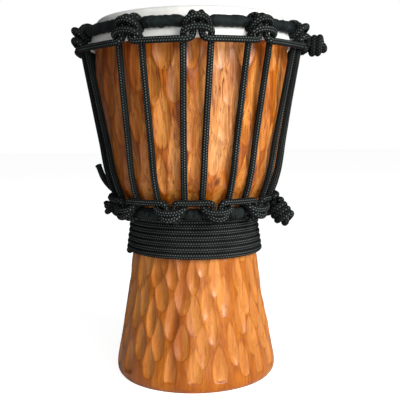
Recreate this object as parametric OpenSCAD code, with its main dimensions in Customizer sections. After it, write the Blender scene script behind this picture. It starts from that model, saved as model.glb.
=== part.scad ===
// Small rope-tuned goblet drum: carved wooden shell, skin head, two rings and their rope lacing.
// Frame: origin at the middle of the foot's resting face, Z up along the drum's axis, front at -Y.

/* [Shell] */
// Height of the wooden shell, foot to bearing edge
shell_h = 301; // [300:0.5:302]
// Outer radius of the foot
foot_r = 69; // [68:0.5:70]
// Outer radius of the throat at its narrowest
throat_r = 51; // [50.5:0.1:51.2]
// Outer radius of the bowl at its widest
bowl_r = 81.3; // [81:0.1:81.4]
// Wall thickness of the bowl and the foot
wall = 8; // [7:0.5:9]
// Extra wall left in the throat
throat_extra = 5; // [3:0.5:7]

/* [Head] */
// Thickness of the skin
skin_t = 0.7; // [0.5:0.1:0.8]
// Radius of the part of the skin that moves when struck
playing_r = 72.6; // [72:0.1:72.8]
// Rod diameter of the flesh ring
flesh_rod_d = 4; // [3.6:0.1:4]
// Radius of the flesh ring, to the middle of its rod
flesh_ring_r = 84.6; // [84.5:0.1:84.8]
// Height of the flesh ring
flesh_ring_z = 280; // [279.8:0.1:280.2]

/* [Rings] */
// Rod diameter of the crown ring and the lower ring
ring_rod_d = 5; // [4.6:0.1:5]
// Diameter over the crown ring's cloth, between the hitches
crown_wrap_d = 9.2; // [8.4:0.1:9.2]
// Diameter over the lower ring's cloth, between the hitches
lower_wrap_d = 10.4; // [9.6:0.1:10.4]
// Diameter over the cloth where the rope squeezes it
squeezed_d = 5.7; // [5.6:0.05:5.7]
// Radius of the crown ring
crown_r = 88.9; // [88.7:0.1:89.1]
// Height of the crown ring
crown_z = 289; // [288.8:0.1:289.2]
// Radius of the lower ring
lower_r = 64.7; // [64.5:0.1:64.9]
// Height of the lower ring
lower_z = 143.8; // [143.7:0.1:143.9]

/* [Rope] */
// Diameter of the rope under tension
rope_d = 4.3; // [4:0.1:4.3]
// Turns of rope round the waist
waist_turns = 7; // [4:1:7]
// Distance between one waist turn and the next
waist_pitch = 4.7; // [4.6:0.05:4.8]
// Height of the topmost waist turn
waist_top_z = 138.5; // [138:0.1:138.6]
// Sides of the rope's cross-section
rope_sides = 6; // [6:1:7]

/* [Hidden] */

wood_colour = [0.72, 0.36, 0.12];
skin_colour = [0.93, 0.90, 0.83];
steel_colour = [0.55, 0.56, 0.58];
cloth_colour = [0.09, 0.10, 0.11];
rope_colour = [0.12, 0.12, 0.12];

hitches = 11;
step = 360 / hitches;
turn_fn = 96;
gap = 0.1;
rope_r = rope_d / 2;
wound_gap = 0.15;

// Azimuths are counted from the front (-Y) towards +X. The hitches are tied by hand, so each row
// strays a little from an even spacing, and the widest gap is at the left, where the lacing ends.
crown_first = 3.3;
crown_stray = 1.6;
crown_wander = 235;
drawn_in = 1.3;
function crown_azimuth(k) = crown_first + k * step + crown_stray * sin(k * crown_wander)
    - (k < hitches - 1 ? drawn_in * max(0, k - 2) : 0);
lower_stray = 3.9;
lower_lag = 2.6;
function lower_azimuth(k) =
    let (next = k < hitches - 1 ? crown_azimuth(k + 1) : crown_azimuth(0) + 360)
    (crown_azimuth(k) + next) / 2 - lower_lag - lower_stray * sin((k + 0.5) * step);

// ---- Curves ----

function unit(v) = v / norm(v);
function ease(u) = let (c = min(max(u, 0), 1)) c * c * (3 - 2 * c);
function spline_point(a, b, c, d, u) =
    (2 * b + (c - a) * u + (2 * a - 5 * b + 4 * c - d) * u ^ 2 + (3 * b - a - 3 * c + d) * u ^ 3) / 2;
// A smooth curve through the points p, with n short chords between one point and the next.
function smooth(p, n) = [
    for (i = [0:len(p) - 2])
        let (a = p[max(i - 1, 0)], d = p[min(i + 2, len(p) - 1)])
        for (k = [0:n - 1]) spline_point(a, p[i], p[i + 1], d, k / n),
    p[len(p) - 1]
];
function tangents(p) = [
    for (i = [0:len(p) - 1]) unit(p[min(i + 1, len(p) - 1)] - p[max(i - 1, 0)])
];
function reversed(p) = [for (i = [len(p) - 1:-1:0]) p[i]];
// The curve p moved sideways by d, to the left of its direction.
function moved(p, d) = let (t = tangents(p)) [
    for (i = [0:len(p) - 1]) p[i] + d * [-t[i][1], t[i][0]]
];
// A point on the drum: azimuth in degrees, radius, height.
function on_drum(azimuth, r, z) = [r * sin(azimuth), -r * cos(azimuth), z];
function degrees(arc, r) = arc / r * 180 / PI;

// ---- Rope: a tube swept along a path ----

// Directions across the path that turn with it and never twist about it.
function across(t) = [
    for (i = 0, v = unit(cross(t[0], [0.3, 0.2, 0.9])); i < len(t);
         v = let (n = t[min(i + 1, len(t) - 1)]) unit(v - (v * n) * n), i = i + 1) v
];

module rope(path) {
    n = rope_sides;
    last = len(path) - 1;
    t = tangents(path);
    side = across(t);
    points = [
        for (i = [0:last], k = [0:n - 1])
            path[i] + rope_r * (cos(k * 360 / n) * side[i] + sin(k * 360 / n) * cross(t[i], side[i]))
    ];
    walls = [
        for (i = [0:last - 1], k = [0:n - 1])
            let (m = (k + 1) % n) [i * n + k, (i + 1) * n + k, (i + 1) * n + m, i * n + m]
    ];
    start_cap = [for (k = [0:n - 1]) k];
    end_cap = [for (k = [n - 1:-1:0]) last * n + k];
    polyhedron(points, concat(walls, [start_cap, end_cap]), convexity = 20);
}

// ---- Hitches ----
// A hitch is laid out beside its ring as [along the ring, out from the ring, away from the other
// ring]. All of it is mirrored about the middle of the hitch.

bend_gap = 0.3;                               // left free where the rope goes round something
round_d = squeezed_d / 2 + rope_r + bend_gap; // from the rope's middle to the ring's, going round it
hook_d = rope_d + bend_gap;                   // from the lacing's middle to the span's, hooked round it
standing = 3.2;                               // half the distance between a cradle's standing parts
span_reach = 14;                              // from the middle of a hitch to where its span begins
spread_from = 60;                             // angle round the ring where the rope starts to spread
spread_over = 220;                            // and the angle it takes for that
swing_steps = 4;

function mirrored(half, middle) = concat(half, [middle], [for (q = reversed(half)) [-q[0], q[1], q[2]]]);
// The rounded corner where the span turns up into a standing part. hang is the span's place: how
// far out from the ring and how far from it towards the other ring.
function corner(hang, bend) = [
    for (a = [0:30:90])
        [
            -standing - bend * (1 - sin(a)),
            round_d + (hang[0] - round_d) * cos(a),
            -hang[1] + bend * (1 - cos(a))
        ]
];
// From a standing part over and round the ring, spreading sideways to leg.
function round_ring(leg) = [
    for (a = [0:30:330])
        [
            -standing - (leg - standing) * ease((a - spread_from) / spread_over),
            round_d * cos(a),
            round_d * sin(a)
        ]
];
// The quarter of an ellipse that leads from a point at the side of a hitch to the hitch's middle.
function swing(from, middle) = [
    for (i = [1:swing_steps - 1])
        let (a = 90 * i / swing_steps)
        [
            from[0] * cos(a),
            from[1] + (middle[1] - from[1]) * sin(a),
            from[2] + (middle[2] - from[2]) * sin(a)
        ]
];
// The quarter turn that the lacing makes over a span, from behind it.
function hook(hang, side) = [
    for (a = [0:30:90]) [-side, hang[0] - hook_d * cos(a), -hang[1] + hook_d * sin(a)]
];

// One cradle of the loop rope: from the span up in front of the ring, over and round it, and across
// in front as a bar. bend is the corner's radius, leg half the cradle's width, bar the bar's middle.
function cradle(hang, bend, leg, bar) =
    let (turn = round_ring(leg))
    mirrored(
        concat([[-span_reach, hang[0], -hang[1]]], corner(hang, bend), turn, swing(turn[len(turn) - 1], bar)),
        bar
    );
// The lacing hooks round the span from behind, then arches in front of the standing parts.
function arch(hang, side, middle) =
    let (over = hook(hang, side))
    mirrored(concat(over, swing(over[len(over) - 1], middle)), middle);

crown_hang = [7, 13.8];
lower_hang = [7.2, 9.6];
crown_cradle = cradle(crown_hang, 4.8, 8.5, [0, 10.5, 2.3]);
lower_cradle = cradle(lower_hang, 3.6, 8.4, [0, 10.8, 0.5]);
crown_arch = arch(crown_hang, 10.2, [0, 10.3, -5.7]);
lower_arch = arch(lower_hang, 12.5, [0, 10.6, -4.8]);

function beside_crown(azimuth, q) =
    on_drum(azimuth + degrees(q[0], crown_r + q[1]), crown_r + q[1], crown_z + q[2]);
function beside_lower(azimuth, q) =
    on_drum(azimuth + degrees(q[0], lower_r + q[1]), lower_r + q[1], lower_z - q[2]);

// ---- Shell ----

// The carved outline from the foot to the bearing edge, as [radius, height].
outline = smooth([
    [foot_r - 2.5, 0], [foot_r, 4], [foot_r, 12], [66.5, 26], [62.8, 47], [59, 68], [55.8, 89], [53.4, 112],
    [throat_r, 130], [52.6, 139], [59.3, 150], [65, 158], [69, 166], [72.3, 180], [74.9, 197],
    [78.2, 221], [bowl_r - 0.3, 252], [bowl_r, 272], [80.6, 287], [79.6, shell_h - 4.5],
    [77.8, shell_h - 1.2], [75.6, shell_h]
], 3);
outline_by_height = [for (q = outline) [q[1], q[0]]];
function shell_r(z) = lookup(z, outline_by_height);
throat_z = 136;
throat_spread = 26;
function wall_at(z) = wall + throat_extra * exp(-((z - throat_z) / throat_spread) ^ 2);
bore_chords = 40;
bore = [for (i = [0:bore_chords]) let (z = (shell_h - 6) * i / bore_chords) [shell_r(z) - wall_at(z), z]];

module shell() {
    color(wood_colour)
        rotate_extrude($fn = turn_fn)
            polygon(concat(outline, [[74.2, shell_h - 0.7]], reversed(bore)));
}

// ---- Head ----

skin_mid = skin_t / 2;
head_top = shell_h + gap + skin_t;
fold_d = flesh_rod_d / 2 + gap + skin_mid;
fold_top = flesh_ring_z + 0.6;
// The hide from the rim down the outside of the shell, under the flesh ring and up its outer side.
edge_stretch = reversed([for (q = outline) if (q[1] > flesh_ring_z + 4) q]);
collar_path = concat(
    [[playing_r + gap, shell_h + gap + skin_mid]],
    moved(edge_stretch, gap + skin_mid),
    [for (a = [180:20:360]) [flesh_ring_r + fold_d * cos(a), flesh_ring_z + fold_d * sin(a)]],
    [[flesh_ring_r + fold_d, fold_top]]
);

module playing_area() {
    color(skin_colour)
        translate([0, 0, head_top - skin_t])
            cylinder(r = playing_r, h = skin_t, $fn = turn_fn);
}

module skin_collar() {
    color(skin_colour)
        rotate_extrude($fn = turn_fn)
            polygon(concat(moved(collar_path, skin_mid), reversed(moved(collar_path, -skin_mid))));
}

// ---- Rings ----

module rod_ring(r, z, d) {
    translate([0, 0, z])
        rotate_extrude($fn = turn_fn)
            translate([r, 0])
                circle(d = d, $fn = 32);
}

module flesh_ring() {
    color(steel_colour)
        rod_ring(flesh_ring_r, flesh_ring_z, flesh_rod_d);
}

module crown_ring() {
    color(steel_colour)
        rod_ring(crown_r, crown_z, ring_rod_d);
}

module lower_ring() {
    color(steel_colour)
        rod_ring(lower_r, lower_z, ring_rod_d);
}

// The cloth tube round a ring's rod: thick between the hitches and squeezed thin under each of them.
module cloth_tube(r, z, d, middles, half_width) {
    half = degrees(half_width, r);
    difference() {
        union() {
            rod_ring(r, z, squeezed_d);
            for (k = [0:hitches - 1]) {
                from = middles[k] + half;
                to = (k < hitches - 1 ? middles[k + 1] : middles[0] + 360) - half;
                translate([0, 0, z])
                    rotate([0, 0, from - 90])
                        rotate_extrude(angle = to - from, $fn = turn_fn)
                            translate([r, 0])
                                circle(d = d, $fn = 32);
            }
        }
        rod_ring(r, z, ring_rod_d + gap);
    }
}

crown_azimuths = [for (k = [0:hitches - 1]) crown_azimuth(k)];
lower_azimuths = [for (k = [0:hitches - 1]) lower_azimuth(k)];

module crown_ring_wrap() {
    color(cloth_colour)
        cloth_tube(crown_r, crown_z, crown_wrap_d, crown_azimuths, 11.3);
}

module lower_ring_wrap() {
    color(cloth_colour)
        cloth_tube(lower_r, lower_z, lower_wrap_d, lower_azimuths, 12);
}

// ---- Loop ropes and their knots ----
// Each loop rope runs once round the drum, from one side of its knot to the other.

crown_knot_after = 2;
lower_knot_after = 1;
knot_room = 4;
crown_knot_azimuth = crown_azimuth(2) + 11;
lower_knot_azimuth = (lower_azimuth(1) + lower_azimuth(2)) / 2;
crown_span = [crown_r + crown_hang[0], crown_z - crown_hang[1]];
lower_span = [lower_r + lower_hang[0], lower_z + lower_hang[1]];

// The azimuth of hitch k, counted on past the first round.
function round_on(azimuths, k) = azimuths[k % hitches] + 360 * floor(k / hitches);

module crown_loop_rope() {
    half = degrees(knot_room, crown_span[0]);
    first = crown_knot_after + 1;
    hung = [
        for (k = [first:first + hitches - 1], q = crown_cradle)
            beside_crown(round_on(crown_azimuths, k), q)
    ];
    start = on_drum(crown_knot_azimuth + half, crown_span[0], crown_span[1]);
    end = on_drum(crown_knot_azimuth - half, crown_span[0], crown_span[1]);
    color(rope_colour) rope(concat([start], hung, [end]));
}

module lower_loop_rope() {
    half = degrees(knot_room, lower_span[0]);
    first = lower_knot_after + 1;
    hung = [
        for (k = [first:first + hitches - 1], q = lower_cradle)
            beside_lower(round_on(lower_azimuths, k), q)
    ];
    start = on_drum(lower_knot_azimuth + half, lower_span[0], lower_span[1]);
    end = on_drum(lower_knot_azimuth - half, lower_span[0], lower_span[1]);
    color(rope_colour) rope(concat([start], hung, [end]));
}

// A barrel knot: the rope runs out along the barrel's axis, turns back and is wound round itself.
// The barrel is wider along X than along Y.
module barrel_knot(length, turns) {
    wound_x = 6.4;
    wound_y = rope_d + wound_gap;
    pitch = rope_d + 2 * wound_gap;
    chords = 12;
    top = length + 1;
    core = [for (z = [0:length / 4:length]) [0, 0, z]];
    turn_back = [[0.8, 0.4, top + 1.6], [2.6, 1.4, top + 1.8]];
    winding = [
        for (i = [0:ceil(turns * chords)])
            let (a = 60 + i * 360 / chords)
            [wound_x * cos(a), wound_y * sin(a), top - 0.2 - pitch * i / chords]
    ];
    rope(concat(core, turn_back, winding));
}

module crown_loop_knot() {
    color(rope_colour)
        translate(on_drum(crown_knot_azimuth, crown_span[0] - 0.5, crown_span[1] + 2.5))
            rotate([0, 0, crown_knot_azimuth - 90])
                rotate([0, 88, 0])
                    barrel_knot(14, 2.4);
}

module lower_loop_knot() {
    color(rope_colour)
        translate(on_drum(lower_knot_azimuth, lower_span[0] + 1, lower_span[1] - 1.5))
            rotate([0, 0, lower_knot_azimuth - 90])
                rotate([0, 134, 0])
                    barrel_knot(18, 3.2);
}

// ---- Lacing ----

rest_gap = 0.5;
// Radius of a rope's middle where it lies on the shell.
function on_shell(z) = shell_r(z) + rope_r + rest_gap;
touch_z = 164;
leave_z = 197;
lying = 3;
// One leg of the lacing between a lower arch and a crown arch. It lies on the bowl from touch_z to
// leave_z, then runs straight to the crown.
function leg(from, to) = [
    for (i = [0:lying])
        let (z = touch_z + (leave_z - touch_z) * i / lying)
        on_drum(from + (to - from) * (z - lower_span[1]) / (crown_span[1] - lower_span[1]), on_shell(z), z)
];

arch_last = len(lower_arch) - 1;
function at_crown(k, i) =
    round_on(crown_azimuths, k) + degrees(crown_arch[i][0], crown_r + crown_arch[i][1]);
function at_lower(k, i) =
    round_on(lower_azimuths, k) + degrees(lower_arch[i][0], lower_r + lower_arch[i][1]);
function rising(k) = leg(at_lower(k, arch_last), at_crown(k + 1, 0));
function falling(k) = reversed(leg(at_lower(k, 0), at_crown(k, arch_last)));

// The lacing starts with a spare end at the left lower hitch, goes once round the drum and comes
// down beside its start.
lacing_first = 8;
spare_end = [-3.4, 10.8, -4.9];

module vertical_rope() {
    first_half = [spare_end, for (i = [arch_last / 2:arch_last]) lower_arch[i]];
    path = concat(
        [for (q = first_half) beside_lower(lower_azimuths[lacing_first], q)],
        rising(lacing_first),
        [
            for (k = [lacing_first + 1:lacing_first + hitches])
                let (
                    up = [for (q = crown_arch) beside_crown(round_on(crown_azimuths, k), q)],
                    down = [for (q = lower_arch) beside_lower(round_on(lower_azimuths, k), q)],
                    is_last = k == lacing_first + hitches
                )
                each concat(up, falling(k), is_last ? [down[0]] : concat(down, rising(k)))
        ]
    );
    color(rope_colour) rope(path);
}

// The spare rope starts beside the last leg, crosses it, comes down over the lower ring and is
// wound round the throat.
waist_chords = 36;
lead_azimuth = -101;
lead_arc = 12;

module waist_wrap() {
    lead = [
        [13, 82.3, 181.5], [12.5, 80.4, 176], [11, 78.7, 170.5], [8, 77.2, 166.4], [4.5, 75.6, 162.6],
        [2, 73, 158.9], [1, 68.4, 156.6], [0.8, 66.1, 152], [0.4, 69.15, 149.7], [0, 72.2, 147.4],
        [-0.1, 73.6, 144.6], [0.3, 72.8, 140.8], [1.5, 69.7, 137], [5, 61.5, 135.6]
    ];
    winding = [
        for (i = [0:waist_turns * waist_chords])
            let (z = waist_top_z - waist_pitch * i / waist_chords)
            on_drum(lead_azimuth + lead_arc + i * 360 / waist_chords, on_shell(z), z)
    ];
    path = concat([for (q = lead) on_drum(lead_azimuth + q[0], q[1], q[2])], winding);
    color(rope_colour) rope(path);
}

shell();
playing_area();
skin_collar();
flesh_ring();
crown_ring();
crown_ring_wrap();
crown_loop_rope();
crown_loop_knot();
vertical_rope();
lower_ring();
lower_ring_wrap();
lower_loop_rope();
lower_loop_knot();
waist_wrap();
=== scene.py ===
import math

import bpy
import numpy as np
from mathutils import Matrix, Vector


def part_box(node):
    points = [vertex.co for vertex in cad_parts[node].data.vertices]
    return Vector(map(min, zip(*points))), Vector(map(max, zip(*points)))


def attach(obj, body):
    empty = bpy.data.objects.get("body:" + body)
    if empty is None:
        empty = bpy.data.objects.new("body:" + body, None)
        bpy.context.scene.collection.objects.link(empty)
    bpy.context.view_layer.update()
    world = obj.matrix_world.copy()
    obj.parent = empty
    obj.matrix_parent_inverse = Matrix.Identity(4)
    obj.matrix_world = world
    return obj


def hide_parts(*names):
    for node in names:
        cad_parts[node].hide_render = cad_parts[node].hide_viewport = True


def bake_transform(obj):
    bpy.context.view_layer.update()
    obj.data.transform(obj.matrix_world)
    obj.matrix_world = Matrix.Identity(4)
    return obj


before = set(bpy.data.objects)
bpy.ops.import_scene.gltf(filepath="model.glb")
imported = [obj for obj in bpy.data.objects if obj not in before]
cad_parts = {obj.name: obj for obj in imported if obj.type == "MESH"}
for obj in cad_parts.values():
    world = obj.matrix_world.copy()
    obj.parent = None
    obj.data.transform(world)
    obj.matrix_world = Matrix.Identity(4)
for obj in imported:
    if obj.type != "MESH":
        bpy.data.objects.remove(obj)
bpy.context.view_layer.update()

MM = 0.001
HITCHES = 11           # on the crown ring, and as many on the lower ring
STEP = 360 / HITCHES
COLUMNS = 8            # columns of stitches round a braided rope
BRAID_SLANT = 0.6      # columns that a stitch leans sideways over its length
WAIST_MIDDLE = 0.12    # metres: the wood is plainer below this height
FACES_SIDE = 0.2       # a face belongs to a turned node's side when its normal points so far that way
ASKEW = (0.3, 0.2, 0.9)  # a direction that no rope starts along


# ---- What the frame says (all in millimetres) ----

def low_high(node):
    low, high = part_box(node)
    return np.array(low) / MM, np.array(high) / MM


def ring_of(node):
    """Radius, height and rod radius of a ring node."""
    low, high = low_high(node)
    rod = (high[2] - low[2]) / 2
    return (high[0] - low[0]) / 2 - rod, (high[2] + low[2]) / 2, rod


crown_r, crown_z, _ = ring_of("crown_ring")
lower_r, lower_z, _ = ring_of("lower_ring")
flesh_r, flesh_z, flesh_rod_r = ring_of("flesh_ring")
head_low, head_high = low_high("playing_area")
head_top = low_high("skin_collar")[1][2]
skin_t = head_high[2] - head_low[2]


def profile_of(node, side):
    """Radius against height of a turned node: side 1 is its outer surface, -1 its inner one."""
    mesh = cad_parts[node].data
    co = np.empty(len(mesh.vertices) * 3)
    mesh.vertices.foreach_get("co", co)
    co = co.reshape(-1, 3) / MM
    pairs = set()
    for face in mesh.polygons:
        c, n = face.center, face.normal
        out = (c.x * n.x + c.y * n.y) / max(math.hypot(c.x, c.y), 1e-9)
        if out * side > FACES_SIDE:
            for v in face.vertices:
                r = math.hypot(co[v][0], co[v][1])
                pairs.add((round(co[v][2], 2), round(r, 1)))
    heights = sorted({z for z, r in pairs})
    return np.array([[max(r for y, r in pairs if y == z), z] for z in heights])


outer = profile_of("shell", 1)
inner = profile_of("shell", -1)


def shell_r(z):
    return np.interp(z, outer[:, 1], outer[:, 0])


# ---- Curves ----

def smooth(points, chords):
    """A smooth curve through the points, with so many chords from one to the next. Each step takes
    time as the root of its length, so that a short step beside a long one doesn't overshoot."""
    p = np.asarray(points, float)
    step = np.diff(p, axis=0)
    time = np.sqrt(np.maximum(np.linalg.norm(step, axis=1), 1e-6))[:, None]
    speed = step / time
    across_both = (step[1:] + step[:-1]) / (time[1:] + time[:-1])
    m = np.vstack([speed[:1], speed[1:] - across_both + speed[:-1], speed[-1:]])
    u = (np.arange(chords) / chords)[None, :, None]
    a, b = p[:-1, None, :], p[1:, None, :]
    out, into = (m[:-1] * time)[:, None, :], (m[1:] * time)[:, None, :]
    q = a + out * u + (3 * (b - a) - 2 * out - into) * u**2 + (2 * (a - b) + out + into) * u**3
    return np.vstack([q.reshape(-1, p.shape[1]), p[-1:]])


def lengths(path):
    return np.concatenate([[0], np.cumsum(np.linalg.norm(np.diff(path, axis=0), axis=1))])


def resample(path, spacing):
    s = lengths(path)
    t = np.linspace(0, s[-1], max(int(round(s[-1] / spacing)), 2) + 1)
    return np.stack([np.interp(t, s, path[:, k]) for k in range(path.shape[1])], axis=1)


def unit(v):
    return v / np.maximum(np.linalg.norm(v, axis=-1, keepdims=True), 1e-12)


def tangents(path):
    return unit(np.gradient(path, axis=0))


def across(t):
    """Directions across a path that turn with it and never twist about it."""
    side = np.empty_like(t)
    side[0] = unit(np.cross(t[0], ASKEW))
    for i in range(1, len(t)):
        side[i] = unit(side[i - 1] - t[i] * np.dot(side[i - 1], t[i]))
    return side


def ease(u):
    c = np.clip(u, 0, 1)
    return c * c * (3 - 2 * c)


def on_drum(azimuth, r, z):
    """A point from its azimuth (degrees from the front, towards +X), radius and height."""
    a = np.radians(azimuth)
    return np.stack(np.broadcast_arrays(r * np.sin(a), -r * np.cos(a), z), axis=-1)


# ---- Meshes ----

def grid_object(name, points, around=True, along=False, uv=None, caps=False, attributes=None, flip=False):
    """A mesh from a grid of points (rows, columns, 3) in millimetres. around joins the last column to
    the first and along the last row to the first; caps closes the first and last rows. uv holds the
    pattern's place across each column, along each row, and its shift in each row. flip turns the
    faces over, for a grid that would face inwards."""
    rows, cols = points.shape[:2]
    co = (points.reshape(-1, 3) * MM).astype(np.float32)
    i = np.arange(rows if along else rows - 1)
    j = np.arange(cols if around else cols - 1)
    i, j = (g.ravel() for g in np.meshgrid(i, j, indexing="ij"))
    i2, j2 = (i + 1) % rows, (j + 1) % cols
    quads = np.stack([i * cols + j, i * cols + j2, i2 * cols + j2, i2 * cols + j], axis=1)
    mesh = bpy.data.meshes.new(name)
    cap_rows = [np.arange(cols)[::-1], np.arange(cols) + (rows - 1) * cols] if caps else []
    way = -1 if flip else 1
    corner = np.concatenate([quads[:, ::way].ravel()] + [row[::way] for row in cap_rows])
    totals = np.concatenate([np.full(len(quads), 4), [len(c) for c in cap_rows]]).astype(np.int32)
    starts = np.concatenate([[0], np.cumsum(totals)[:-1]]).astype(np.int32)
    mesh.vertices.add(len(co))
    mesh.vertices.foreach_set("co", co.ravel())
    mesh.loops.add(len(corner))
    mesh.loops.foreach_set("vertex_index", corner.astype(np.int32))
    mesh.polygons.add(len(totals))
    mesh.polygons.foreach_set("loop_start", starts)
    mesh.polygons.foreach_set("loop_total", totals)
    mesh.polygons.foreach_set("use_smooth", np.ones(len(totals), bool))
    if uv is not None:
        u, v, shift = uv
        u_step = (u[-1] - u[0]) / (len(u) - 1)
        v_step = (v[-1] - v[0]) / (len(v) - 1)
        flat = np.empty((len(quads), 4, 2))
        near, far = u[j] + shift[i], u[j] + shift[i2]
        flat[:, :, 0] = np.stack([near, near + u_step, far + u_step, far], axis=1)
        flat[:, :, 1] = np.stack([v[i], v[i], v[i] + v_step, v[i] + v_step], axis=1)
        extra = np.zeros((len(corner) - flat.shape[0] * 4, 2))
        layer = mesh.uv_layers.new(name="Pattern")
        layer.data.foreach_set("uv", np.concatenate([flat[:, ::way].reshape(-1, 2), extra]).ravel())
    for key, values in (attributes or {}).items():
        data = mesh.attributes.new(key, "FLOAT", "POINT").data
        data.foreach_set("value", values.astype(np.float32).ravel())
    mesh.update()
    mesh.validate()
    piece = bpy.data.objects.new(name, mesh)
    bpy.context.scene.collection.objects.link(piece)
    return piece


# ---- Materials ----

class Shader:
    """A node material that is built up with short calls."""

    def __init__(self, name):
        self.material = bpy.data.materials.new(name)
        self.material.use_nodes = True
        self.tree = self.material.node_tree
        self.bsdf = self.tree.nodes["Principled BSDF"]

    def put(self, socket, value):
        if isinstance(value, bpy.types.NodeSocket):
            self.tree.links.new(value, socket)
        elif isinstance(value, bpy.types.Node):
            self.tree.links.new(value.outputs[0], socket)
        else:
            socket.default_value = value

    def add(self, kind, inputs=None, **settings):
        node = self.tree.nodes.new("ShaderNode" + kind)
        for key, value in settings.items():
            setattr(node, key, value)
        for key, value in (inputs or {}).items():
            self.put(node.inputs[key], value)
        return node

    def math(self, operation, a, b=0.0, c=0.0, clamp=False):
        return self.add("Math", {0: a, 1: b, 2: c}, operation=operation, use_clamp=clamp).outputs[0]

    def squared(self, value, size):
        """The square of value / size."""
        return self.math("POWER", self.math("ABSOLUTE", self.math("DIVIDE", value, size)), 2.0)

    def mix(self, factor, a, b):
        node = self.add("Mix", data_type="RGBA")
        self.put(node.inputs[0], factor)
        self.put(node.inputs[6], a)
        self.put(node.inputs[7], b)
        return node.outputs[2]

    def ramp(self, value, *stops):
        node = self.add("ValToRGB", {0: value})
        points = node.color_ramp.elements
        while len(points) < len(stops):
            points.new(0.5)
        for point, (place, colour) in zip(points, stops):
            point.position = place
            point.color = colour if len(colour) == 4 else (*colour, 1)
        return node.outputs[0]

    def noise(self, vector, scale, detail=3.0, roughness=0.5, distortion=0.0):
        inputs = {"Vector": vector, "Scale": scale, "Detail": detail, "Roughness": roughness}
        return self.add("TexNoise", {**inputs, "Distortion": distortion}).outputs[0]

    def scaled(self, vector, x, y, z):
        return self.add("Mapping", {"Vector": vector, "Scale": (x, y, z)}).outputs[0]

    def place(self):
        return self.add("TexCoord").outputs["Object"]

    def pattern(self):
        split = self.add("SeparateXYZ", {0: self.add("UVMap", uv_map="Pattern").outputs[0]})
        return split.outputs[0], split.outputs[1]

    def attribute(self, name):
        return self.add("Attribute", attribute_name=name).outputs["Fac"]

    def bump(self, height, distance, strength=1.0, under=None):
        node = self.add("Bump", {"Height": height, "Distance": distance, "Strength": strength})
        if under is not None:
            self.put(node.inputs["Normal"], under)
        return node.outputs[0]

    def finish(self, **inputs):
        for key, value in inputs.items():
            self.put(self.bsdf.inputs[key.replace("_", " ")], value)
        return self.material


def wood_material(name, varnished):
    s = Shader(name)
    # Vertical grain: pores, fine streaks, broader bands that wander, and darker veins. It bends round
    # the eye that a branch has left in the bowl. The bowl is more strongly figured than the foot.
    bend = s.add("CombineXYZ", {0: s.attribute("bend")}).outputs[0]
    place = s.add("VectorMath", {0: s.place(), 1: bend}, operation="ADD").outputs[0]
    height = s.add("SeparateXYZ", {0: place}).outputs[2]
    on_bowl = s.math("GREATER_THAN", height, WAIST_MIDDLE)
    figured = s.math("MULTIPLY_ADD", on_bowl, 1.9, 1.7)
    pores = s.noise(s.scaled(place, 1, 1, 0.10), 1500, 3, 0.6)
    fine = s.noise(s.scaled(place, 1, 1, 0.05), 700, 6, 0.6, 0.3)
    streaks = s.noise(s.scaled(place, 1, 1, 0.08), 190, 6, 0.62, 1.4)
    broad = s.noise(s.scaled(place, 1, 1, 0.20), 38, 4, 0.55, 0.6)
    contrast = s.math("MULTIPLY_ADD", s.math("SUBTRACT", streaks, 0.5), figured, 0.5, clamp=True)
    scoop = s.attribute("scoop")
    ridge = s.mix(contrast, (0.29, 0.058, 0.002, 1), (0.66, 0.21, 0.010, 1))
    bowl_ridge = s.mix(contrast, (0.16, 0.024, 0.001, 1), (0.54, 0.14, 0.006, 1))
    ridge = s.mix(s.math("MULTIPLY", on_bowl, 0.7), ridge, bowl_ridge)
    inside = s.mix(contrast, (0.46, 0.13, 0.012, 1), (0.78, 0.33, 0.075, 1))
    colour = s.mix(s.math("MULTIPLY", scoop, 0.85), ridge, inside)
    # Painted shade: a narrow darker line runs round each gouge, just inside its edge.
    edge_shade = s.ramp(scoop, (0.0, (0, 0, 0)), (0.18, (1, 1, 1)), (0.55, (0, 0, 0)))
    colour = s.mix(s.math("MULTIPLY", edge_shade, 0.42), colour, (0.22, 0.040, 0.003, 1))
    tone = s.ramp(broad, (0.34, (0.66, 0.50, 0.36)), (0.50, (0.97, 0.94, 0.9)), (0.68, (1.12, 1.15, 1.25)))
    shaded = s.add("Mix", data_type="RGBA", blend_type="MULTIPLY")
    s.put(shaded.inputs[0], 1.0)
    s.put(shaded.inputs[6], colour)
    s.put(shaded.inputs[7], tone)
    bleached = s.mix(contrast, (0.42, 0.15, 0.035, 1), (0.80, 0.47, 0.22, 1))
    colour = s.mix(s.math("MULTIPLY", s.attribute("pale"), 0.42), shaded.outputs[2], bleached)
    # Painted shade: the bowl's left side, away from the lights, is painted darker.
    colour = s.mix(s.math("MULTIPLY", s.attribute("painted_shade"), 0.5), colour, (0.17, 0.028, 0.0012, 1))
    veins = s.ramp(fine, (0.56, (0, 0, 0)), (0.68, (1, 1, 1)))
    veins = s.math("MULTIPLY", veins, s.math("MULTIPLY_ADD", figured, 0.30, -0.05))
    colour = s.mix(veins, colour, (0.17, 0.030, 0.002, 1))
    specks = s.ramp(pores, (0.60, (0, 0, 0)), (0.66, (1, 1, 1)))
    colour = s.mix(s.math("MULTIPLY", specks, 0.35), colour, (0.20, 0.045, 0.006, 1))
    colour = s.mix(s.math("MULTIPLY", s.attribute("eye"), 0.85), colour, (0.10, 0.016, 0.003, 1))
    relief = s.math("ADD", s.math("MULTIPLY", fine, 0.6), s.math("MULTIPLY", streaks, 0.6))
    if not varnished:
        dull = s.mix(0.55, colour, (0.30, 0.17, 0.08, 1))
        return s.finish(Base_Color=dull, Roughness=0.85, Normal=s.bump(relief, 0.0012))
    gloss = s.math("MULTIPLY_ADD", broad, 0.2, 0.32)
    return s.finish(
        Base_Color=colour, Roughness=gloss, Normal=s.bump(relief, 0.0005, 0.7),
        Coat_Weight=0.34, Coat_Roughness=0.24, Coat_IOR=1.5, Specular_IOR_Level=0.22,
    )


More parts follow.
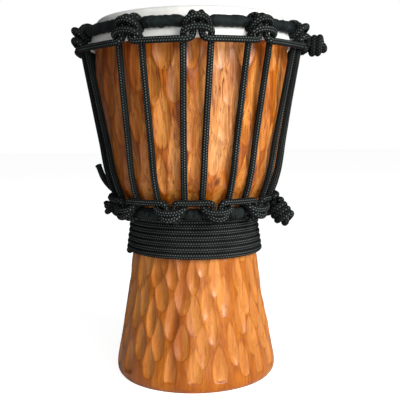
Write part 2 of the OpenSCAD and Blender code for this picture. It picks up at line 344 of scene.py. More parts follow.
FLECK_SIZE = 0.30      # half a pale fleck, a painted highlight on a stitch, in columns across and in stitches along
COLUMN_LIFT = 512.0    # whole and even, so that MODULO sees no column below zero
STITCH_LIFT = 4096.0   # whole, so that FRACT sees no stitch below zero


def rope_material():
    """Black braided cord, with painted highlights as pale flecks on its stitches. Pattern holds the
    braid's column across and its stitch along.
    """
    s = Shader("braided_rope")
    column, stitch = s.pattern()
    nearest = s.math("ROUND", column)
    lifted = s.math("ADD", nearest, COLUMN_LIFT)
    odd = s.math("MODULO", lifted, 2.0)
    run = s.math("ADD", s.math("ADD", stitch, STITCH_LIFT), s.math("MULTIPLY", odd, 0.5))
    run = s.math("SUBTRACT", s.math("FRACT", run), 0.5)
    side = s.math("SUBTRACT", column, nearest)
    lean = s.math("MULTIPLY_ADD", odd, 2 * BRAID_SLANT, -BRAID_SLANT)
    slant = s.math("MULTIPLY_ADD", run, lean, side)
    away = s.math("ADD", s.squared(slant, FLECK_SIZE), s.squared(run, FLECK_SIZE))
    fleck = s.math("SUBTRACT", 1.0, s.math("MINIMUM", away, 1.0))
    # Painted highlights: the pale flecks are brightest on the two columns that face outwards, away from
    # the drum.
    turn = s.math("MODULO", lifted, float(COLUMNS))
    faces_out = s.math("LESS_THAN", turn, 1.5)
    fleck = s.math("MULTIPLY", fleck, s.math("MULTIPLY_ADD", faces_out, 0.7, 0.3))
    place = s.place()
    lint = s.noise(place, 900, 4, 0.6)
    patch = s.noise(place, 60, 2, 0.5)
    glint = s.math("MULTIPLY", fleck, s.math("MULTIPLY_ADD", patch, 1.4, 0.1, clamp=True))
    colour = s.mix(glint, (0.0045, 0.0062, 0.0060, 1), (0.17, 0.195, 0.188, 1))
    threads = s.math("SINE", s.math("MULTIPLY", s.math("ADD", side, s.math("MULTIPLY", run, 0.5)), 40))
    height = s.math("ADD", s.math("MULTIPLY", threads, 0.15), s.math("MULTIPLY", lint, 0.6))
    return s.finish(
        Base_Color=colour, Roughness=0.75, Normal=s.bump(height, 0.00015), Specular_IOR_Level=0.08,
    )


def cloth_material():
    s = Shader("black_cloth")
    column, stitch = s.pattern()
    place = s.place()
    warp = s.math("SINE", s.math("MULTIPLY", column, math.tau))
    weft = s.math("SINE", s.math("MULTIPLY", stitch, math.tau))
    weave = s.math("MULTIPLY", warp, weft)
    wear = s.noise(place, 120, 5, 0.6)
    colour = s.ramp(wear, (0.35, (0.0035, 0.006, 0.006)), (0.75, (0.015, 0.023, 0.024)))
    height = s.math("ADD", s.math("MULTIPLY", weave, 0.4), s.noise(place, 700, 3, 0.6))
    return s.finish(
        Base_Color=colour, Roughness=0.5, Normal=s.bump(height, 0.00016), Specular_IOR_Level=0.15,
    )


def skin_material():
    s = Shader("goatskin")
    place = s.place()
    blotch = s.noise(place, 28, 5, 0.6)
    fine = s.noise(place, 420, 4, 0.6)
    pores = s.add("TexVoronoi", {"Vector": place, "Scale": 900.0}).outputs[0]
    veins = s.noise(s.scaled(place, 1, 0.35, 1), 90, 6, 0.65, 1.5)
    tone = s.math("ADD", s.math("MULTIPLY", blotch, 0.6), s.math("MULTIPLY", veins, 0.4))
    colour = s.ramp(
        tone, (0.32, (0.72, 0.70, 0.64)), (0.52, (0.88, 0.88, 0.84)), (0.75, (0.93, 0.94, 0.93))
    )
    height = s.math("ADD", s.math("MULTIPLY", fine, 0.6), s.math("MULTIPLY", pores, 0.5))
    return s.finish(
        Base_Color=colour, Roughness=0.55, Normal=s.bump(height, 0.0002),
        Subsurface_Weight=0.12, Subsurface_Radius=(0.004, 0.003, 0.002), Subsurface_Scale=1.0,
    )


def steel_material():
    s = Shader("ring_steel")
    drawn = s.noise(s.place(), 500, 4, 0.6)
    colour = s.ramp(drawn, (0.3, (0.30, 0.30, 0.31)), (0.7, (0.52, 0.53, 0.55)))
    return s.finish(Base_Color=colour, Metallic=1.0, Roughness=0.38, Normal=s.bump(drawn, 0.0001))


WOOD = wood_material("varnished_wood", True)
RAW_WOOD = wood_material("bare_wood", False)
ROPE = rope_material()
CLOTH = cloth_material()
SKIN = skin_material()
STEEL = steel_material()


def dress(piece, material):
    piece.data.materials.clear()
    piece.data.materials.append(material)
    return piece


# ---- Shell ----

rng = np.random.default_rng(7)
PLAIN_FOOT = 7.5       # height of the smooth band at the foot's lower edge
PLAIN_TOP = 22.0       # height of the smooth band below the head
COLS = 720
CUT_ROWS = 0.9         # distance between rows of the carved surface
BORE_ROWS = 5.0        # and between rows of the plain inside
WIDEST = -0.25         # where a gouge is widest: -1 at its lower end, 1 at its upper end
POINTED = 1.8          # powers that draw a gouge's upper end to a point
ROUNDED = 2.4          # and round its lower one
SCOOP_STEEP = 3        # the scoop field is full at one part in so many of a gouge's depth
EYE = (16.0, 169.0)    # azimuth and height of the eye left by a branch
EYE_TALL = 1.5         # its height for its width
EYE_R = 2.3
EYE_BEND = 3.6         # the grain bends as if round a core of this radius
BEND_REACH = 16.0
# Azimuth, half width in degrees, lower end, and the height over which it fades in there: the bowl's pale
# stripe, and the painted shade on its left side, away from the lights.
PALE = (18.0, 9.5, 172.0, 14.0)
SHADE_STRIPE = (-62.0, 32.0, 140.0, 20.0)


def turn_from(azimuth, middle):
    """Degrees from the middle's azimuth, -180 to 180."""
    return (azimuth - middle + 180) % 360 - 180


def carve(depth, scoop, azimuth, height, radius, gouge):
    """Adds one gouge, a leaf-shaped cut with sharp edges, to the depth and scoop fields. The cut is
    widest below its middle, round at the bottom and drawn out to a point at the top."""
    middle, middle_z, half_l, half_w, deep, lean = gouge
    rows = np.flatnonzero(np.abs(height - middle_z) < half_l)
    if not len(rows):
        return
    reach = np.degrees((half_w + abs(lean) * half_l) / radius[rows].min()) + 1
    turn = turn_from(azimuth, middle)
    cols = np.flatnonzero(np.abs(turn) < reach)
    y = (height[rows] - middle_z)[:, None]
    x = np.radians(turn[cols])[None, :] * radius[rows][:, None] - lean * y
    u = y / half_l
    up = np.clip((u - WIDEST) / (1 - WIDEST), 0, 1)
    down = np.clip((WIDEST - u) / (1 + WIDEST), 0, 1)
    edge = half_w * np.where(u > WIDEST, 1 - up**POINTED, np.sqrt(1 - down**ROUNDED))
    cut = (edge**2 - x**2) / half_w**2 * deep
    block = np.ix_(rows, cols)
    depth[block] = np.maximum(depth[block], cut)
    scoop[block] = np.maximum(scoop[block], np.clip(cut / deep * SCOOP_STEEP, 0, 1))


def gouges(first_z, row_step, rows, count, half_l, half_w, deep, jitter):
    """Staggered rows of gouges, count to a row, each a little different, as cut by hand."""
    cuts = []
    for row in range(rows):
        shift = 0.5 * (row % 2) + rng.normal(0, 0.05)
        for k in range(count):
            wide = half_w * (1 + rng.normal(0, 0.10))
            cuts.append((
                (k + shift + rng.normal(0, jitter)) * 360 / count,
                first_z + row * row_step + rng.normal(0, 1.6 + 14 * jitter),
                half_l * (1 + rng.normal(0, 0.08)),
                wide,
                deep * (wide / half_w) * (1 + rng.normal(0, 0.12)),
                rng.normal(0, 0.035),
            ))
    return cuts


def stripe(azimuth, height, place):
    """A soft upright stripe of the bowl, 0 to 1."""
    middle, half_width, low, fade = place
    side = turn_from(azimuth, middle)
    return np.exp(-(side / half_width) ** 4)[None, :] * ease((height - low) / fade)[:, None]


def grain_fields(azimuth, height, radius):
    """Where the bowl's left side is painted in shade and where its wood is pale, where its eye is, and how
    far the grain bends.
    """
    x = np.radians(turn_from(azimuth, EYE[0]))[None, :] * radius[:, None]
    y = (height - EYE[1])[:, None]
    far = np.sqrt(x**2 + (y / EYE_TALL) ** 2)
    bend = -x * EYE_BEND**2 / np.maximum(far, EYE_BEND * 0.8) ** 2
    return {
        "painted_shade": stripe(azimuth, height, SHADE_STRIPE),
        "pale": stripe(azimuth, height, PALE),
        "eye": np.exp(-(far / EYE_R) ** 4),
        "bend": bend * np.exp(-(far / BEND_REACH) ** 2) * MM,
    }


def carved_fields(azimuth, height, radius):
    """How deep the shell is cut at each point, and how far inside a cut the point is, 0 to 1."""
    depth = np.zeros((len(height), COLS))
    scoop = np.zeros_like(depth)
    foot = gouges(
        first_z=24, row_step=18.5, rows=6, count=20, half_l=19.5, half_w=6.3, deep=2.2, jitter=0.10)
    bowl = gouges(
        first_z=168, row_step=27, rows=5, count=22, half_l=25, half_w=7.6, deep=2.6, jitter=0.13)
    slivers = gouges(
        first_z=178, row_step=33, rows=3, count=17, half_l=19, half_w=4, deep=1.5, jitter=0.25)
    for gouge in foot + bowl + slivers:
        carve(depth, scoop, azimuth, height, radius, gouge)
    fade = ease((height - PLAIN_FOOT) / 3) * ease((head_top - PLAIN_TOP - height) / 6)
    return np.maximum(depth, 0) * fade[:, None], scoop * fade[:, None]


def build_shell():
    """The carved outside and the plain inside, as one closed surface, with the wood's fields on it."""
    outline = resample(smooth(outer, 6), CUT_ROWS * (1))
    bore = resample(smooth(inner[::-1], 2), BORE_ROWS)[1:]  # the outside ends where it begins
    rows = len(outline) + len(bore)
    azimuth = np.arange(COLS) * 360 / COLS
    t = tangents(outline)
    normal = np.stack([t[:, 1], -t[:, 0]], axis=1)
    radius, height = outline[:, 0], outline[:, 1]
    depth, scoop = carved_fields(azimuth, height, radius)
    points = np.empty((rows, COLS, 3))
    r = radius[:, None] - depth * normal[:, 0][:, None]
    z = height[:, None] - depth * normal[:, 1][:, None]
    points[:len(outline)] = on_drum(azimuth[None, :], r, z)
    points[len(outline):] = on_drum(azimuth[None, :], bore[:, :1], bore[:, 1:2])
    fields = {}
    for key, values in {"scoop": scoop, **grain_fields(azimuth, height, radius)}.items():
        fields[key] = np.zeros((rows, COLS))
        fields[key][:len(outline)] = values
    piece = grid_object("shell_carved", points, along=True, attributes=fields)
    dress(piece, WOOD)
    piece.data.materials.append(RAW_WOOD)
    # The second material, bare wood, is on the inside, between the two rims.
    index = np.zeros(len(piece.data.polygons), np.int32)
    index[len(outline) * COLS:(rows - 2) * COLS] = 1
    piece.data.polygons.foreach_set("material_index", index)
    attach(piece, "drum")
    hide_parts("shell")


# ---- Rope ----

ROPE_R = 2.42          # to the valleys of the braid
STITCH_HIGH = 0.15
STITCH_LONG = 2.05
STITCH_WIDE = 0.72     # half a raised stitch, in columns
STITCH_REACH = 0.60    # and in stitches
FACING_REACH = 7.0     # length of rope over which the braid turns to face outwards again
BULB_LONG = 2.4        # melted end
BULB_HIGH = 0.5
END_ROUND = 1.2        # the end is rounded over this length
ROPE_SPACING = 0.55
ROPE_SIDES = 24


def braid_height(column, stitch):
    """Height of the braid's stitches, 0 to 1, where column and stitch count them across and along."""
    best = np.zeros(np.broadcast(column, stitch).shape)
    for offset in (-1, 0, 1):
        nearest = np.round(column) + offset
        odd = nearest % 2
        run = (stitch + 0.5 * odd) % 1 - 0.5
        across_it = column - nearest + run * BRAID_SLANT * (2 * odd - 1)
        away = (across_it / STITCH_WIDE) ** 2 + (run / STITCH_REACH) ** 2
        best = np.maximum(best, np.sqrt(np.clip(1 - away, 0, 1)))
    return best


def facing(path, side, other):
    """Where round the rope the drum's outside lies, smoothed along the rope."""
    out = unit(path * [1, 1, 0])
    phasor = (out * side).sum(axis=1) + 1j * (out * other).sum(axis=1)
    reach = int(FACING_REACH / ROPE_SPACING)
    window = np.hanning(2 * reach + 3)[1:-1]
    smoothed = np.convolve(np.pad(phasor, reach, mode="edge"), window, mode="valid")
    return np.unwrap(np.angle(smoothed))


def rope_object(name, control, chords=6, radius=ROPE_R):
    """A braided rope along the control points, with melted ends."""
    path = resample(smooth(control, chords), ROPE_SPACING)
    t = tangents(path)
    side = across(t)
    other = np.cross(t, side)
    s = lengths(path)
    angle = np.arange(ROPE_SIDES) * math.tau / ROPE_SIDES
    column = np.arange(ROPE_SIDES) * COLUMNS / ROPE_SIDES
    shift = 0.5 - facing(path, side, other) * COLUMNS / math.tau
    stitch = s / STITCH_LONG
    end = np.minimum(s, s[-1] - s)
    bulb = np.clip(1 - end / BULB_LONG, 0, 1)
    r = radius + STITCH_HIGH * braid_height(column[None] + shift[:, None], stitch[:, None])
    r = r + BULB_HIGH * np.sin(math.pi * bulb)[:, None]
    r = r * np.sqrt(np.clip(1 - (1 - np.clip(end / END_ROUND, 0, 1)) ** 2, 0.1, 1))[:, None]
    ring = side[:, None] * np.cos(angle)[None, :, None] + other[:, None] * np.sin(angle)[None, :, None]
    points = path[:, None] + ring * r[..., None]
    piece = grid_object(name, points, uv=(column, stitch, shift), caps=True)
    return dress(piece, ROPE)


# ---- Hitches ----
# Laid out beside a ring as [along the ring, out from it, away from the other ring], mirrored about
# the middle of the hitch.

ROUND = 5.15           # rope's middle to the ring's middle, where it goes round
HOOK = 4.75            # lacing's middle to the span's middle, where it is hooked round it
STANDING = 3.2         # half the distance between a cradle's standing parts
SPAN_REACH = 14.0      # from the middle of a hitch to where its span begins
SPREAD_FROM = 60.0     # angle round the ring where the rope starts to spread
SPREAD_OVER = 220.0    # and the angle it takes for that
SWING_STEPS = 4
CROWN_HANG = (7.0, 13.8)  # how far out a span hangs, and how far towards the other ring
LOWER_HANG = (7.2, 9.6)
# Where the hitches are, in degrees: the first one, how far the others stray from even steps and how
# fast that varies, how much each is drawn back to the one before, and how far the lower ones lag
# behind the middle of the two crown hitches above.
CROWN_FIRST = 3.3
CROWN_STRAY = 1.6
CROWN_WANDER = 235.0
DRAWN_IN = 1.3
LOWER_STRAY = 3.9
LOWER_LAG = 2.6


def crown_azimuth(k):
    rounds, k = divmod(k, HITCHES)
    drawn = DRAWN_IN * max(0, k - 2) if k < HITCHES - 1 else 0
    stray = CROWN_STRAY * math.sin(math.radians(k * CROWN_WANDER))
    return 360 * rounds + CROWN_FIRST + k * STEP + stray - drawn


def lower_azimuth(k):
    stray = LOWER_STRAY * math.sin(math.radians((k + 0.5) * STEP))
    return (crown_azimuth(k) + crown_azimuth(k + 1)) / 2 - LOWER_LAG - stray


def mirrored(half, middle):
    return np.vstack([half, [middle], half[::-1] * [-1, 1, 1]])


def corner(hang, bend):
    """The rounded corner where the span turns up into a standing part. hang is the span's place."""
    a = np.radians(np.arange(0, 91, 30))
    along = -STANDING - bend * (1 - np.sin(a))
    out = ROUND + (hang[0] - ROUND) * np.cos(a)
    return np.stack([along, out, bend * (1 - np.cos(a)) - hang[1]], axis=1)


def round_ring(leg):
    """From a standing part over and round the ring, spreading sideways to leg."""
    angle = np.arange(0, 331, 30)
    along = -STANDING - (leg - STANDING) * ease((angle - SPREAD_FROM) / SPREAD_OVER)
    a = np.radians(angle)
    return np.stack([along, ROUND * np.cos(a), ROUND * np.sin(a)], axis=1)


def swing(start, middle):
    """The quarter of an ellipse from a point at the side of a hitch to the hitch's middle."""
    a = np.radians(np.arange(1, SWING_STEPS) * 90 / SWING_STEPS)[:, None]
    start, middle = np.array(start), np.array(middle)
    quarter = start + (middle - start) * np.sin(a)
    quarter[:, 0] = start[0] * np.cos(a[:, 0])
    return quarter


def hook(hang, side):
    """The quarter turn that the lacing makes over a span, from behind it."""
    a = np.radians(np.arange(0, 91, 30))
    out = hang[0] - HOOK * np.cos(a)
    return np.stack([np.full(len(a), -side), out, HOOK * np.sin(a) - hang[1]], axis=1)


def cradle(hang, bend, leg, bar):
    """One cradle of a loop rope: from the span up, over and round the ring, and across in front."""
    turn = round_ring(leg)
    start = [[-SPAN_REACH, hang[0], -hang[1]]]
    return mirrored(np.vstack([start, corner(hang, bend), turn, swing(turn[-1], bar)]), bar)


def arch(hang, side, middle):
    """The lacing hooks round the span from behind, then arches in front of the standing parts."""
    over = hook(hang, side)
    return mirrored(np.vstack([over, swing(over[-1], middle)]), middle)


CROWN_CRADLE = cradle(CROWN_HANG, bend=4.8, leg=8.3, bar=(0, 10.0, 2.3))
LOWER_CRADLE = cradle(LOWER_HANG, bend=3.6, leg=7.9, bar=(0, 10.3, 3.2))
CROWN_ARCH = arch(CROWN_HANG, side=10.2, middle=(0, 10.3, -5.7))
LOWER_ARCH = arch(LOWER_HANG, side=10.8, middle=(0, 10.5, -1.9))


def beside(ring_r, ring_z, up, azimuth, shape):
    """Places a hitch's points beside a ring: up is 1 at the crown and -1 at the lower ring."""
    q = np.array(shape)
    r = ring_r + q[:, 1]
    return on_drum(azimuth + np.degrees(q[:, 0] / r), r, ring_z + up * q[:, 2])


def beside_crown(azimuth, shape):
    return beside(crown_r, crown_z, 1, azimuth, shape)


def beside_lower(azimuth, shape):
    return beside(lower_r, lower_z, -1, azimuth, shape)


CROWN_KNOT_AFTER = 2   # the hitch that the loop rope's knot comes after
LOWER_KNOT_AFTER = 1
CROWN_KNOT_PAST = 11   # degrees
KNOT_ROOM = 4.0        # half the gap between the loop rope's two ends, inside the knot
crown_knot_azimuth = crown_azimuth(CROWN_KNOT_AFTER) + CROWN_KNOT_PAST
lower_knot_azimuth = (lower_azimuth(LOWER_KNOT_AFTER) + lower_azimuth(LOWER_KNOT_AFTER + 1)) / 2
crown_span = (crown_r + CROWN_HANG[0], crown_z - CROWN_HANG[1])
lower_span = (lower_r + LOWER_HANG[0], lower_z + LOWER_HANG[1])


def loop_path(azimuth_of, place, shape, after, knot_azimuth, span):
    """Once round the drum, from one side of the knot through all the hitches to its other side."""
    half = math.degrees(KNOT_ROOM / span[0])
    hung = [place(azimuth_of(k), shape) for k in range(after + 1, after + 1 + HITCHES)]
    start = on_drum(knot_azimuth + half, *span)[None]
    end = on_drum(knot_azimuth + 360 - half, *span)[None]
    return np.vstack([start] + hung + [end])


def build_loop_ropes():
    crown = rope_object("crown_loop_rope_braid", loop_path(
        crown_azimuth, beside_crown, CROWN_CRADLE, CROWN_KNOT_AFTER, crown_knot_azimuth, crown_span))
    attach(crown, "hoop")
    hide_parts("crown_loop_rope")
    lower = rope_object("lower_loop_rope_braid", loop_path(
        lower_azimuth, beside_lower, LOWER_CRADLE, LOWER_KNOT_AFTER, lower_knot_azimuth, lower_span))
    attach(lower, "drum")
    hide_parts("lower_loop_rope")


# ---- Knots ----

WOUND_WIDE = 6.3       # half axes of the ellipse that the rope's middle is wound along
WOUND_DEEP = 4.7
WOUND_PITCH = 4.6
WOUND_FROM = 60        # angle where the winding starts
WOUND_CHORDS = 16      # to a turn
TURN_BACK = [(1.3, 0.6, 1.9), (3.6, 2.2, 1.9)]  # over the knot's end, from the axis to the winding
KNOT_ROPE_R = 2.6


def barrel_path(length, turns):
    """A rope that runs out along an axis, turns back and is wound round itself."""
    path = [[0, 0, z] for z in np.linspace(0, length, 5)]
    path += [[x, y, length + over] for x, y, over in TURN_BACK]
    for i in range(math.ceil(turns * WOUND_CHORDS) + 1):
        a = math.radians(WOUND_FROM + i * 360 / WOUND_CHORDS)
        z = length + 0.6 - WOUND_PITCH * i / WOUND_CHORDS
        path.append([WOUND_WIDE * math.cos(a), WOUND_DEEP * math.sin(a), z])
    return np.array(path)


def turned(points, tilt, azimuth):
    """Tilts points from Z towards +X, then turns them to stand out at an azimuth."""
    a, b = math.radians(tilt), math.radians(azimuth - 90)
    lean = np.array([[math.cos(a), 0, math.sin(a)], [0, 1, 0], [-math.sin(a), 0, math.cos(a)]])
    swing = np.array([[math.cos(b), -math.sin(b), 0], [math.sin(b), math.cos(b), 0], [0, 0, 1]])
    return points @ lean.T @ swing.T


def build_knots():
    at = on_drum(crown_knot_azimuth, crown_span[0] - 0.5, crown_span[1] + 2.5)
    path = turned(barrel_path(length=14, turns=2.6), 88, crown_knot_azimuth) + at
    crown = rope_object("crown_loop_knot_braid", path, radius=KNOT_ROPE_R)
    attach(crown, "hoop")
    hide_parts("crown_loop_knot")
    at = on_drum(lower_knot_azimuth, lower_span[0] + 1.5, lower_span[1] - 3.0)
    path = turned(barrel_path(length=18, turns=3.4), 141, lower_knot_azimuth) + at
    lower = rope_object("lower_loop_knot_braid", path, radius=KNOT_ROPE_R)
    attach(lower, "drum")
    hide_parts("lower_loop_knot")


# ---- Lacing ----

TOUCH_Z = 164.0        # the lacing lies on the bowl from here
LEAVE_Z = 197.0        # up to here, then it runs straight to the crown
LYING = 3              # steps between its stations on the bowl
STRAIGHT = (0.3, 0.6, 0.85)  # stations on the straight run, as parts of it
LACING_FIRST = 8       # the lower hitch that the lacing starts from
SPARE_END = [-3.4, 10.8, -4.9]  # where its spare end is, beside that hitch
REST = ROPE_R + 0.25   # from the shell to the middle of a rope that lies on it


def leg(start, end):
    """A leg of the lacing, from the lower arch up: it lies on the bowl, then runs straight."""
    z = TOUCH_Z + (LEAVE_Z - TOUCH_Z) * np.arange(LYING + 1) / LYING
    r = shell_r(z) + REST
    part = np.array(STRAIGHT)
    z = np.append(z, LEAVE_Z + (crown_span[1] - LEAVE_Z) * part)
    r = np.append(r, r[-1] + (crown_span[0] - HOOK - r[-1]) * part)
    return on_drum(start + (end - start) * (z - lower_span[1]) / (crown_span[1] - lower_span[1]), r, z)


def at_crown(k, i):
    return crown_azimuth(k) + math.degrees(CROWN_ARCH[i][0] / (crown_r + CROWN_ARCH[i][1]))


def at_lower(k, i):
    return lower_azimuth(k) + math.degrees(LOWER_ARCH[i][0] / (lower_r + LOWER_ARCH[i][1]))


def rising(k):
    return leg(at_lower(k, -1), at_crown(k + 1, 0))


def falling(k):
    return leg(at_lower(k, 0), at_crown(k, -1))[::-1]


def lacing_path():
    """From the spare end at the left lower hitch, once round the drum."""
    first_half = np.vstack([SPARE_END, LOWER_ARCH[len(LOWER_ARCH) // 2:]])
    path = [beside_lower(lower_azimuth(LACING_FIRST), first_half), rising(LACING_FIRST)]
    last = LACING_FIRST + HITCHES
    for k in range(LACING_FIRST + 1, last + 1):
        down = beside_lower(lower_azimuth(k), LOWER_ARCH)
        path += [beside_crown(crown_azimuth(k), CROWN_ARCH), falling(k)]
        path += [down[:1]] if k == last else [down, rising(k)]
    return np.vstack(path)


def build_lacing():
    piece = rope_object("vertical_rope_braid", lacing_path())
    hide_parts("vertical_rope")
    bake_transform(piece)


WAIST_CHORDS = 36      # to a turn
WAIST_PITCH = 4.7
WAIST_TURNS = 7
WAIST_TOP = 138.5
LEAD_AZIMUTH = -101.0
LEAD_ARC = 12.0        # degrees from the lead's azimuth to the start of the winding
# The rope's way down over the lower ring to the waist: azimuth past the lead's, radius, height.
LEAD = [
    (13, 82.3, 181.5), (12.5, 80.4, 176), (11, 78.7, 170.5), (8, 77.2, 166.4), (4.5, 75.6, 162.6),
    (2, 73, 158.9), (1, 68.4, 156.6), (0.8, 66.1, 152), (0.4, 69.15, 149.7), (0, 72.2, 147.4),
    (-0.1, 73.6, 144.6), (0.3, 72.8, 140.8), (1.5, 69.7, 137.2), (5, 61.5, 135.6),
]


def build_waist():
    i = np.arange(WAIST_TURNS * WAIST_CHORDS + 1)
    z = WAIST_TOP - WAIST_PITCH * i / WAIST_CHORDS
    winding = on_drum(LEAD_AZIMUTH + LEAD_ARC + i * 360 / WAIST_CHORDS, shell_r(z) + REST, z)
    path = np.vstack([on_drum(LEAD_AZIMUTH + a, r, h) for a, r, h in LEAD] + [winding])
    piece = rope_object("waist_wrap_braid", path, chords=4)
    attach(piece, "drum")
    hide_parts("waist_wrap")


# ---- Cloth on the rings ----

SQUEEZED = 2.75        # the cloth's radius where a hitch squeezes it
SWELL_OVER = 5.0       # beside a hitch it swells to its full size over this length
SUNK = 0.45            # the cloth between its creases lies this far inside the CAD wrap's surface
LAP_HIGH = 0.3         # height of the step where a turn of the strip laps over the last one
CREASES = 26
CREASE_HIGH = 0.36
THREADS_ROUND = 44     # threads of the weave round the ring's rod
THREAD = 0.6           # and the length of one along the ring


def cloth_creases(seed, azimuth, around):
    """Wrinkles that wind round the ring, as a sum of waves of random slant, length and size."""
    noise = np.random.default_rng(seed)
    creases = np.zeros((len(azimuth), len(around)))
    for _ in range(CREASES):
        n = noise.integers(12, 120)
        m = noise.integers(1, 6)
        size = 0.9 / math.sqrt(CREASES) * noise.uniform(0.4, 1.0)
        winding = azimuth[:, None] * n + around[None] * m * noise.choice([-1, 1])
        wave = np.radians(winding) + noise.uniform(0, 7)
        creases += size * np.sin(wave)
    return creases


def build_cloth(name, node, ring_r, ring_z, azimuth_of, half_width, body, strip, seed):
    """A cloth strip wound round a ring: its turns overlap, it wrinkles, and each hitch squeezes it.
    half_width is half a hitch's width, and strip the width of the strip."""
    cols = 1500
    sides = 32
    azimuth = np.arange(cols) * 360 / cols
    around = np.arange(sides) * 360 / sides
    middles = np.array([azimuth_of(k) for k in range(HITCHES)])
    gap = np.abs(turn_from(azimuth[:, None], middles[None])).min(axis=1)
    open_to = ease((np.radians(gap) * ring_r - half_width + SWELL_OVER / 2) / SWELL_OVER)
    arc = np.radians(azimuth) * ring_r
    turns = round(math.tau * ring_r / strip)
    lap = (azimuth[:, None] / 360 * turns + around[None] / 360) % 1
    edge = LAP_HIGH * ease((lap - 0.03) / 0.10) * (1 - 0.6 * lap)
    creases = cloth_creases(seed, azimuth, around)
    body_r = ring_of(node)[2] - SUNK
    r = SQUEEZED + open_to[:, None] * (body_r - SQUEEZED + edge + CREASE_HIGH * creases)
    r = np.maximum(r, SQUEEZED - 0.2)
    a = np.radians(around)[None]
    points = on_drum(azimuth[:, None], ring_r + r * np.cos(a), ring_z + r * np.sin(a))
    weave = (around / 360 * THREADS_ROUND, arc / THREAD, np.zeros(cols))
    piece = grid_object(name, points, along=True, uv=weave, flip=True)
    dress(piece, CLOTH)
    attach(piece, body)
    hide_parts(node)


# ---- Skin ----

SEAM_R = 74.0          # where the playing area ends and the collar begins
DISH = 0.5             # the playing area's middle lies this much lower than its edge
MIDDLE_R = 0.6         # radius of the cap at its middle
HIDE_CLEAR = 0.1       # from the hide to what it lies on
HELD_DEPTH = 5.0       # the hide stays on the bearing edge down to this depth below the head
# Lower down it stands this much further off the wall, because the shell widens downwards and the
# hoop draws the hide down. The slack grows over this height.
HIDE_SLACK = 0.55
SLACK_OVER = 8.0
# The hide's free edge outside the flesh ring: how far it leans back in, and its height above the ring.
FLAP = [(0, 1.5), (0.3, 3.5), (0.9, 5.6)]
HIDE_SPACING = 0.55
SHARP = math.radians(50)  # edges sharper than this aren't shaded smooth


def skin_section():
    """The hide's middle line from the seam over the bearing edge, down the shell, under the flesh ring
    and up on its outer side."""
    half = skin_t / 2 + HIDE_CLEAR
    top = np.array([[SEAM_R, head_top - skin_t / 2], [SEAM_R + 0.8, head_top - skin_t / 2]])
    wall = outer[outer[:, 1] > flesh_z + 5][::-1]
    t = tangents(wall)
    off = half + HIDE_SLACK * ease((head_top - HELD_DEPTH - wall[:, 1]) / SLACK_OVER)
    wall = wall + off[:, None] * np.stack([-t[:, 1], t[:, 0]], axis=1)
    fold = flesh_rod_r + half
    a = np.radians(np.arange(180, 361, 18))
    turn = np.stack([flesh_r + fold * np.cos(a), flesh_z + fold * np.sin(a)], axis=1)
    flap = np.array([[flesh_r + fold - back, flesh_z + up] for back, up in FLAP])
    return resample(smooth(np.vstack([top, wall, turn, flap]), 6), HIDE_SPACING)


def build_collar(azimuth):
    """The hide from the seam outwards. It is held at the bearing edge, and the hoop draws it down."""
    middle = skin_section()
    t = tangents(middle)
    normal = np.stack([-t[:, 1], t[:, 0]], axis=1)
    both = np.vstack([middle + normal * skin_t / 2, (middle - normal * skin_t / 2)[::-1]])
    points = on_drum(azimuth[None, :], both[:, :1], both[:, 1:2])
    collar = grid_object("skin_collar_hide", points, along=True, flip=True)
    collar.data.set_sharp_from_angle(angle=SHARP)
    dress(collar, SKIN)
    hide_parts("skin_collar")
    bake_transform(collar)


def build_head(azimuth):
    """The playing area, a shallow dish. Its edge stays on the drum."""
    r = np.linspace(MIDDLE_R, SEAM_R, 70)
    dip = DISH * (1 - (r / SEAM_R) ** 2)
    top = np.stack([r, head_top - dip], axis=1)
    under = top[::-1] - [0, skin_t]
    both = np.vstack([top, under])
    points = on_drum(azimuth[None, :], both[:, :1], both[:, 1:2])
    head = grid_object("playing_area_hide", points, caps=True, flip=True)
    head.data.set_sharp_from_angle(angle=SHARP)
    dress(head, SKIN)
    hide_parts("playing_area")
    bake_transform(head)


def build_skin():
    cols = 640
    azimuth = np.arange(cols) * 360 / cols
    build_collar(azimuth)
    build_head(azimuth)


def build_cloths():
    build_cloth(
        "crown_ring_cloth", "crown_ring_wrap", crown_r, crown_z, crown_azimuth,
        half_width=10.5, body="hoop", strip=17, seed=3,
    )
    build_cloth(
        "lower_ring_cloth", "lower_ring_wrap", lower_r, lower_z, lower_azimuth,
        half_width=11.5, body="drum", strip=15, seed=4,
    )


def dress_steel_rings():
    """The CAD rings keep their shape and get a better material."""
    for name in ("flesh_ring", "crown_ring", "lower_ring"):
        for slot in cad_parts[name].material_slots:
            slot.material = STEEL


build_shell()
build_loop_ropes()
build_knots()
build_lacing()
build_waist()
build_cloths()
build_skin()
dress_steel_rings()


# ---- Stage, light and camera ----

def area_light(name, location, target, size, power, colour):
    data = bpy.data.lights.new(name, "AREA")
    data.shape = "RECTANGLE"
    data.size, data.size_y = size
    data.energy = power
    data.color = colour
    lamp = bpy.data.objects.new(name, data)
    lamp.location = location
    lamp.rotation_euler = (Vector(target) - Vector(location)).to_track_quat("-Z", "Y").to_euler()
    bpy.context.scene.collection.objects.link(lamp)


FLOOR_HALF = 6.0       # metres
FLOOR_LIFT = 0.85      # the floor's own light, seen by the camera only
SOFT_LIGHT = 0.13      # the backdrop's light on the drum
AIM = (0, 0, 0.17)


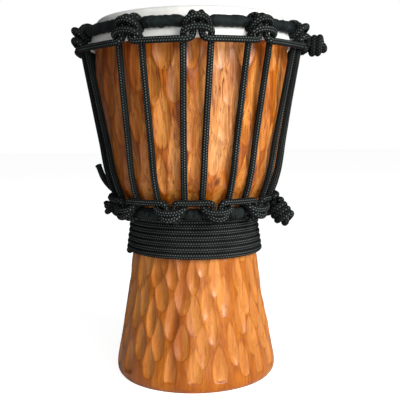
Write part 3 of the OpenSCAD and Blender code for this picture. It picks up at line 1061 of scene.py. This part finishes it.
def build_floor():
    h = FLOOR_HALF
    mesh = bpy.data.meshes.new("studio_floor")
    mesh.from_pydata([(-h, -h, 0), (h, -h, 0), (h, h, 0), (-h, h, 0)], [], [(0, 1, 2, 3)])
    floor = bpy.data.objects.new("studio_floor", mesh)
    bpy.context.scene.collection.objects.link(floor)
    s = Shader("studio_floor")
    seen = s.add("LightPath").outputs["Is Camera Ray"]
    mesh.materials.append(s.finish(
        Base_Color=(0.9, 0.9, 0.9, 1), Roughness=0.9,
        Emission_Color=(1, 1, 1, 1), Emission_Strength=s.math("MULTIPLY", seen, FLOOR_LIFT),
    ))


def build_backdrop():
    """White to the camera, and a soft light on the drum."""
    world = bpy.data.worlds.new("studio")
    world.use_nodes = True
    nodes, links = world.node_tree.nodes, world.node_tree.links
    rays = nodes.new("ShaderNodeLightPath")
    amount = nodes.new("ShaderNodeMapRange")
    amount.inputs["To Min"].default_value = SOFT_LIGHT
    amount.inputs["To Max"].default_value = 1.0
    links.new(rays.outputs["Is Camera Ray"], amount.inputs["Value"])
    links.new(amount.outputs[0], nodes["Background"].inputs["Strength"])
    nodes["Background"].inputs["Color"].default_value = (1, 1, 1, 1)
    bpy.context.scene.world = world
    bpy.context.scene.view_settings.view_transform = "Standard"


def build_lights():
    area_light("key", (0.80, -0.92, 0.74), AIM, size=(0.5, 0.7), power=19.5, colour=(1, 0.98, 0.96))
    area_light("front", (0.25, -1.4, 0.45), AIM, size=(0.7, 0.7), power=5.5, colour=(0.97, 0.99, 1))


CAMERA_AT = (0.0055, -0.6005, 0.2104)  # metres
CAMERA_PITCH = 5.86    # degrees down
CAMERA_ROLL = -0.83
LENS = 62.2            # with a sensor 36 wide


def build_camera():
    data = bpy.data.cameras.new("camera")
    data.sensor_width = 36.0
    data.lens = LENS
    camera = bpy.data.objects.new("camera", data)
    tilt = Matrix.Rotation(math.radians(90 - CAMERA_PITCH), 4, "X")
    roll = Matrix.Rotation(math.radians(CAMERA_ROLL), 4, "Z")
    camera.matrix_world = Matrix.Translation(CAMERA_AT) @ tilt @ roll
    bpy.context.scene.collection.objects.link(camera)
    bpy.context.scene.camera = camera


build_floor()
build_backdrop()
build_lights()
build_camera()
